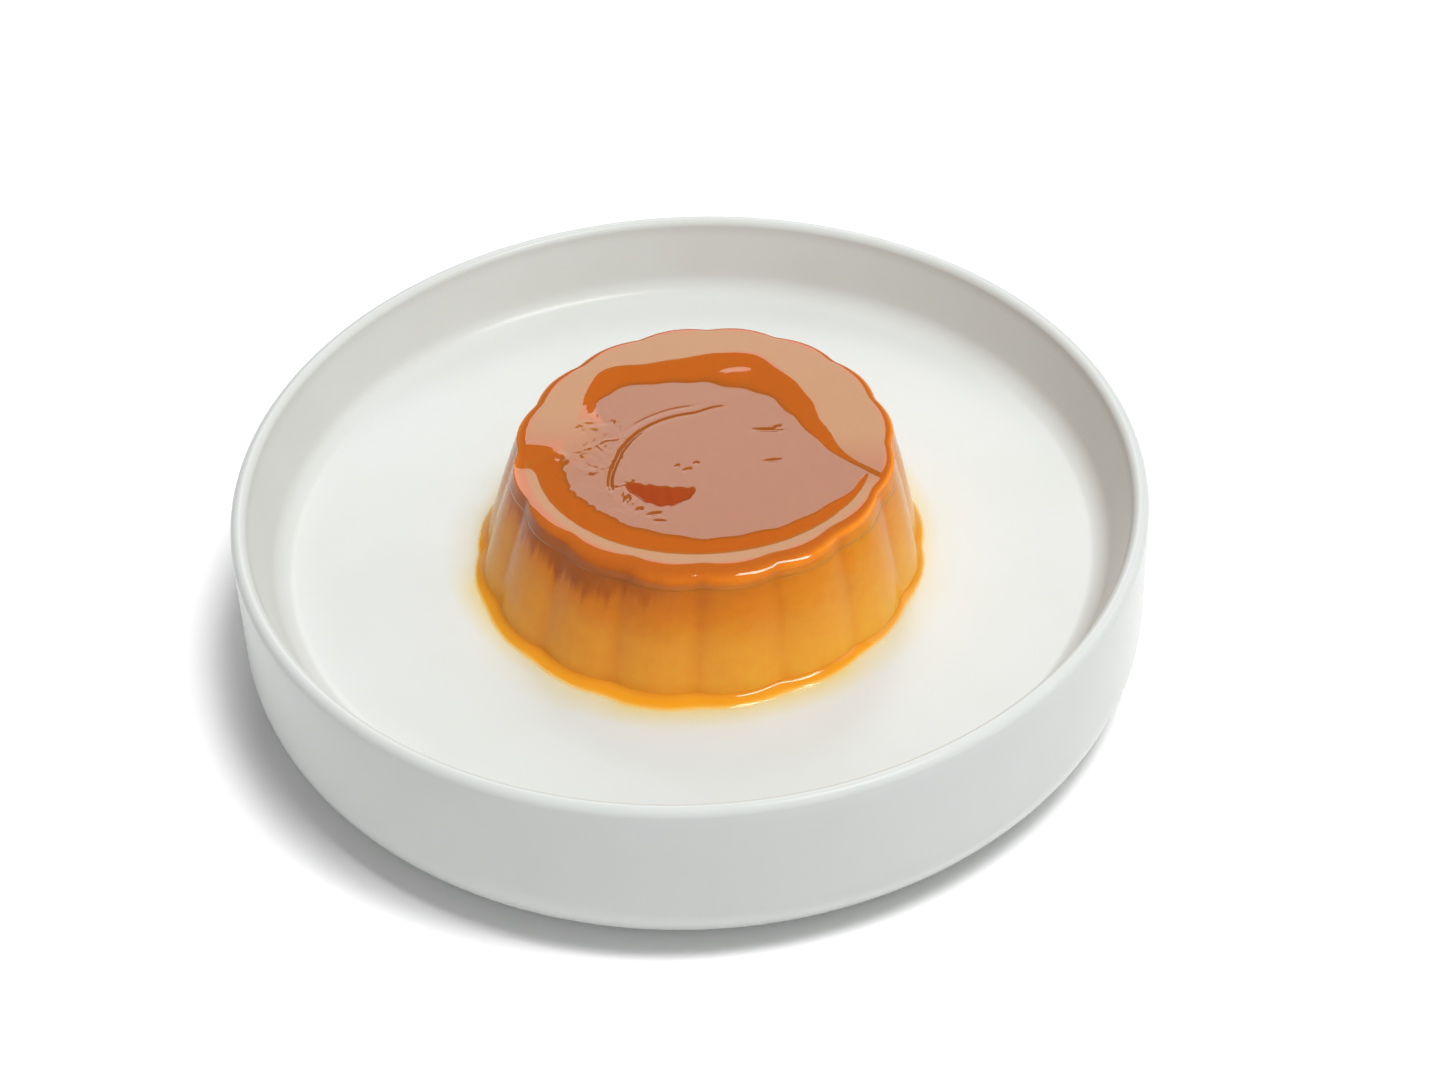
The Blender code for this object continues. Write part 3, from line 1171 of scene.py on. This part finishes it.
@dataclass
class CaramelTop:
    """The caramel-soaked layer: upper side, rounded edge, and the wet top with its pool."""

    form: PuddingForm
    bottom: float
    around: int = 560
    top_rings: int = 150
    edge_rings: int = 16
    side_rings: int = 8
    pool_below_top: float = 1.28 * MM
    proud: float = 0.01 * MM
    relief: TopRelief = field(default_factory=TopRelief)

    def build(self, finish: CaramelFinish) -> bpy.types.Object:
        """Run rings up the side, over the rounded edge and in to the middle.

        The side stops where the rounding, of radius R, starts. Over it a ring turned by t
        lies R sin t above the shoulder and R (1 - cos t) inside the side. The edge is then
        lowered to the relief by the sine of the turn, and the top altogether.

        Args:
            finish: The caramel's finish.

        Returns:
            The finished piece.
        """
        form = self.form
        u = once_round(self.around, form.first_valley)
        rounding = form.edge_rounding(u)
        shoulder = form.top - rounding
        share = np.linspace(0.0, 1.0, self.side_rings, endpoint=False)[:, None]
        turn = np.radians(np.linspace(0.0, 90.0, self.edge_rings, endpoint=False))[:, None]
        inward = np.linspace(1.0, 0.02, self.top_rings)[:, None]
        side_z = self.bottom + (shoulder - self.bottom) * share
        flat = form.side_radius(shoulder) - rounding
        z = np.concatenate([
            side_z,
            shoulder + rounding * np.sin(turn),
            form.top + 0.0 * inward * u,
        ])
        radius = np.concatenate([
            form.side_radius(side_z) + self.proud,
            flat + rounding * np.cos(turn),
            flat * inward,
        ])
        lobes = np.concatenate([
            1.0 + 0.0 * share,
            1.0 - 0.15 * np.sin(turn),
            0.85 * smooth_step(inward, 0.72, 1.0),
        ])
        lowered = np.concatenate([0.0 * share, np.sin(turn), 1.0 + 0.0 * inward])
        uu = u + 0.0 * z
        radius = radius + lobes * form.flute(uu)
        points = form.place(uu, z, radius)
        mid_x, mid_y = form.centre(np.asarray(form.top))
        x, y = (points[..., 0] - mid_x) / MM, (points[..., 1] - mid_y) / MM
        rim = (flat + 0.0 * z) / MM
        height, depth, slope = self.relief.shape(x, y, rim)
        points[..., 2] += lowered * (height * MM - self.pool_below_top)
        on_side = smooth_step(lowered + 0.0 * uu, 0.97, 0.55)
        # the film numbers carry painted shade on the left side and along the foot
        film = form.film(uu, np.minimum(points[..., 2], form.top))
        values = {"depth": depth, "slope": slope, "on_side": on_side, "film": film}
        piece = Grid(points).build("caramel_top_layer", values)
        piece.data.materials.append(finish.material())
        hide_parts("caramel_top")
        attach(piece, BODY)
        return piece


@dataclass
class SyrupPool:
    """Thin ring of syrup round the pudding's foot: a climbing fillet and a rounded edge.

    Attributes:
        form: The pudding that it surrounds.
        floor: Height of the plate's floor.
        reach: How far it runs out from the pudding, before it drifts.
        film: Its thickness.
        edge_width: Width of the rounded edge.
        climb: How high the fillet climbs the pudding.
        full_depth: Height at which the syrup has its deepest colour.
        tucked_under: How far it runs in under the pudding's side.
        fillet_start: How far inside the side the fillet starts to fall.
        fillet_width: How far out it falls to a third.
        sunk: How far its underside lies in the plate's glaze.
        bulges: Where it runs further out or less: how far in mm, bearing and width.
        edge_waves: Height, count and phase of the waves in its edge.
    """

    form: PuddingForm
    floor: float
    reach: float = 1.4 * MM
    film: float = 0.55 * MM
    edge_width: float = 1.9 * MM
    climb: float = 0.9 * MM
    full_depth: float = 2.0 * MM
    tucked_under: float = 1.2 * MM
    fillet_start: float = 0.35 * MM
    fillet_width: float = 0.75 * MM
    sunk: float = 0.05 * MM
    around: int = 640
    rings: int = 26
    bulges: tuple[tuple[float, float, float], ...] = (
        (0.6, 259.0, 17.0), (-0.7, 330.0, 26.0), (0.4, 195.0, 25.0),
    )
    edge_waves: tuple[tuple[float, float, float], ...] = (
        (0.30, 3, 0.7), (0.20, 7, 2.1), (0.16, 13, 0.3), (0.12, 29, 1.0), (0.08, 47, 2.6),
    )

    def edge_radius(self, u: np.ndarray) -> np.ndarray:
        """Radius of the outer edge: further out at the front and left, and uneven.

        Args:
            u: Angle round the foot's middle.

        Returns:
            The foot's radius, with half its flutes, plus reach, drift and a sum of sines.
        """
        drift = 1.2 * np.clip(-np.sin(u), 0.0, 1.0) - 0.5 * np.clip(np.sin(u), 0.0, 1.0)
        for share, bearing, width in self.bulges:
            drift = drift + share * bell(turned_off(u, bearing), width)
        uneven = sines(u, *self.edge_waves)
        base = self.form.side_radius(self.form.bottom) + 0.55 * self.form.flute(u)
        return base + self.reach + (drift + 0.35 * uneven) * MM

    def stain_at(self, points: np.ndarray) -> np.ndarray:
        """Faint film on the glaze, which fades by exp of minus the distance from the pool.

        Args:
            points: Places on the plate.

        Returns:
            Its strength at each place, 0.9 at the pool's edge.
        """
        x, y = points[..., 0] - self.form.foot_x, points[..., 1] - self.form.foot_y
        u = np.arctan2(y, x)
        outside = np.hypot(x, y) - self.edge_radius(u)
        reach = (1.1 + 0.7 * bell(turned_off(u, 265.0), 40.0)) * MM
        return 0.9 * np.exp(-np.clip(outside, 0.0, None) / reach)

    def ring(self, radius: np.ndarray, u: np.ndarray, z: np.ndarray) -> np.ndarray:
        """Points round the foot's middle, at radii, angles and heights."""
        x, y = self.form.foot_x + radius * np.cos(u), self.form.foot_y + radius * np.sin(u)
        return np.stack([x, y, z + 0.0 * x], axis=-1)

    def build(self, finish: SyrupFinish) -> bpy.types.Object:
        """Sweep the pool's section round the pudding.

        Its height is a flat film that rounds off in a parabola at the edge, plus a fillet
        that climbs the pudding's side and falls off by exp of minus the distance. The pool
        casts no shadow, because a clear film's shadow of itself would look dirty.

        Args:
            finish: The syrup's finish.

        Returns:
            The finished piece.
        """
        form = self.form
        u = once_round(self.around, form.first_valley)
        foot = form.side_radius(np.asarray(form.bottom)) + form.flute(u)
        edge = self.edge_radius(u)
        s = 1.0 - np.linspace(1.0, 0.0, self.rings) ** 1.6
        inside = foot - self.tucked_under
        radius = inside + (edge - inside) * s[:, None]
        off_side = np.clip(radius - foot + self.fillet_start, 0.0, None)
        from_edge = np.clip((edge - radius) / self.edge_width, 0.0, 1.0)
        rounded = self.film * (1.0 - (1.0 - from_edge) ** 2)
        height = rounded + self.climb * np.exp(-off_side / self.fillet_width)
        under_radius = np.stack([edge - 0.1 * MM, inside])
        points = np.concatenate([
            self.ring(radius, u, self.floor + height),
            self.ring(under_radius, u, self.floor - self.sunk),
        ])[::-1]
        depth = np.concatenate([
            np.clip(height / self.full_depth, 0.0, 1.0),
            np.full_like(under_radius, 0.2),
        ])[::-1]
        piece = Grid(points, Closing.LOOP).build("syrup_pool_ring", {"depth": depth})
        piece.visible_shadow = False
        piece.data.materials.append(finish.material())
        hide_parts("syrup_pool")
        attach(piece, BODY)
        return piece


# --- studio ----------------------------------------------------------------------------

@dataclass(frozen=True)
class Softbox:
    """One rectangular soft light that faces its aim.

    Attributes:
        name: The light's name.
        place: Its middle, in metres.
        aim: The point that it faces.
        size: Width and height, in metres.
        radiance: Brightness of its face.
        mirrored: Whether glossy surfaces show its reflection.
    """

    name: str
    place: tuple[float, float, float]
    aim: tuple[float, float, float]
    size: tuple[float, float]
    radiance: float
    mirrored: bool = True

    def hang(self) -> None:
        """Add the light; its power is radiance times pi times its area."""
        data = bpy.data.lights.new(self.name, "AREA")
        data.shape = "RECTANGLE"
        data.size, data.size_y = self.size
        data.energy = self.radiance * math.pi * self.size[0] * self.size[1]
        made = bpy.data.objects.new(self.name, data)
        way = Vector(self.aim) - Vector(self.place)
        made.rotation_euler = way.to_track_quat("-Z", "Y").to_euler()
        made.location = self.place
        made.visible_glossy = self.mirrored
        bpy.context.scene.collection.objects.link(made)


@dataclass
class Studio:
    """Pale floor, soft lights and the camera."""

    camera_place: tuple[float, float, float] = (0.0, -0.46574, 0.43075)
    camera_aim: tuple[float, float, float] = (0.00533, 0.02467, 0.0)
    camera_roll: float = math.radians(-2.44)
    lens: float = 87.5
    sensor_width: float = 36.0
    floor_half: float = 6.0
    floor_white: Colour = (0.95, 0.95, 0.95)
    air_strength: float = 0.20
    softboxes: tuple[Softbox, ...] = (
        Softbox("back_panel", (0.06, 2.0, 1.455), (0.06, 0.0, 1.455), (0.78, 1.45), 3.2),
        Softbox("main", (0.36, -0.26, 1.80), (0.0, 0.0, 0.0), (0.55, 0.55), 22.0, mirrored=False),
        Softbox("front_fill", (-0.1, -1.7, 1.0), (0.0, 0.0, 0.0), (1.6, 1.2), 1.1, mirrored=False),
        Softbox("right_key", (1.58, 0.40, 1.15), (0.0, 0.0, 0.02), (1.4, 1.0), 0.8),
        Softbox("small_strip", (0.62, -0.25, 1.95), (0.0, 0.0, 0.03), (0.30, 0.95), 16.0),
    )

    def lay_floor(self) -> None:
        """Lay a wide matt white floor, level with the foot ring's bottom."""
        mesh = bpy.data.meshes.new("studio_floor")
        half = self.floor_half
        corners = [(-half, -half, 0.0), (half, -half, 0.0), (half, half, 0.0), (-half, half, 0.0)]
        mesh.from_pydata(corners, [], [(0, 1, 2, 3)])
        bench = Bench("studio_white")
        bench.feed(bench.shader.inputs["Base Color"], self.floor_white)
        bench.shader.inputs["Roughness"].default_value = 1.0
        bench.shader.inputs["Specular IOR Level"].default_value = 0.0
        mesh.materials.append(bench.material)
        made = bpy.data.objects.new("studio_floor", mesh)
        bpy.context.scene.collection.objects.link(made)

    def light(self) -> None:
        """Hang the soft lights and set the even light from all round."""
        world = bpy.data.worlds.new("studio_air")
        world.use_nodes = True
        air = world.node_tree.nodes["Background"]
        air.inputs["Color"].default_value = (1.0, 1.0, 1.0, 1.0)
        air.inputs["Strength"].default_value = self.air_strength
        bpy.context.scene.world = world
        for softbox in self.softboxes:
            softbox.hang()

    def set_camera(self) -> None:
        """Set the camera: it looks at its aim and is rolled a little about its own axis."""
        data = bpy.data.cameras.new("camera")
        data.sensor_width = self.sensor_width
        data.lens = self.lens
        made = bpy.data.objects.new("camera", data)
        way = Vector(self.camera_aim) - Vector(self.camera_place)
        level = way.to_track_quat("-Z", "Y").to_matrix()
        roll = Matrix.Rotation(self.camera_roll, 3, "Z")
        made.matrix_world = Matrix.Translation(self.camera_place) @ (level @ roll).to_4x4()
        bpy.context.scene.collection.objects.link(made)
        bpy.context.scene.camera = made

    def build(self) -> None:
        """Lay the floor, hang the lights and set the camera."""
        self.lay_floor()
        self.light()
        self.set_camera()
        bpy.context.scene.view_settings.view_transform = "Standard"


def report(piece: bpy.types.Object) -> None:
    """Log a piece's name and its triangles: corners less two for each face."""
    triangles = len(piece.data.loops) - 2 * len(piece.data.polygons)
    LOG.info("%s: %d triangles", piece.name, triangles)


def main() -> None:
    logging.basicConfig(level=logging.INFO, format="%(name)s %(message)s")
    custard_low, custard_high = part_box("custard")
    top_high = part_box("caramel_top")[1]
    plate_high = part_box("plate")[1]
    floor = custard_low.z - SOLID_GAP
    form = PuddingForm(bottom=custard_low.z, top=top_high.z)
    pool = SyrupPool(form, floor)
    Studio().build()
    report(Plate(plate_high.x, plate_high.z, floor).build(PorcelainFinish(), pool))
    report(CustardBody(form, custard_high.z + SEAM_OVERLAP, floor).build(CustardFinish()))
    report(CaramelTop(form, custard_high.z).build(CaramelFinish()))
    report(pool.build(SyrupFinish()))
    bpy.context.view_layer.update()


if __name__ == "__main__":
    main()
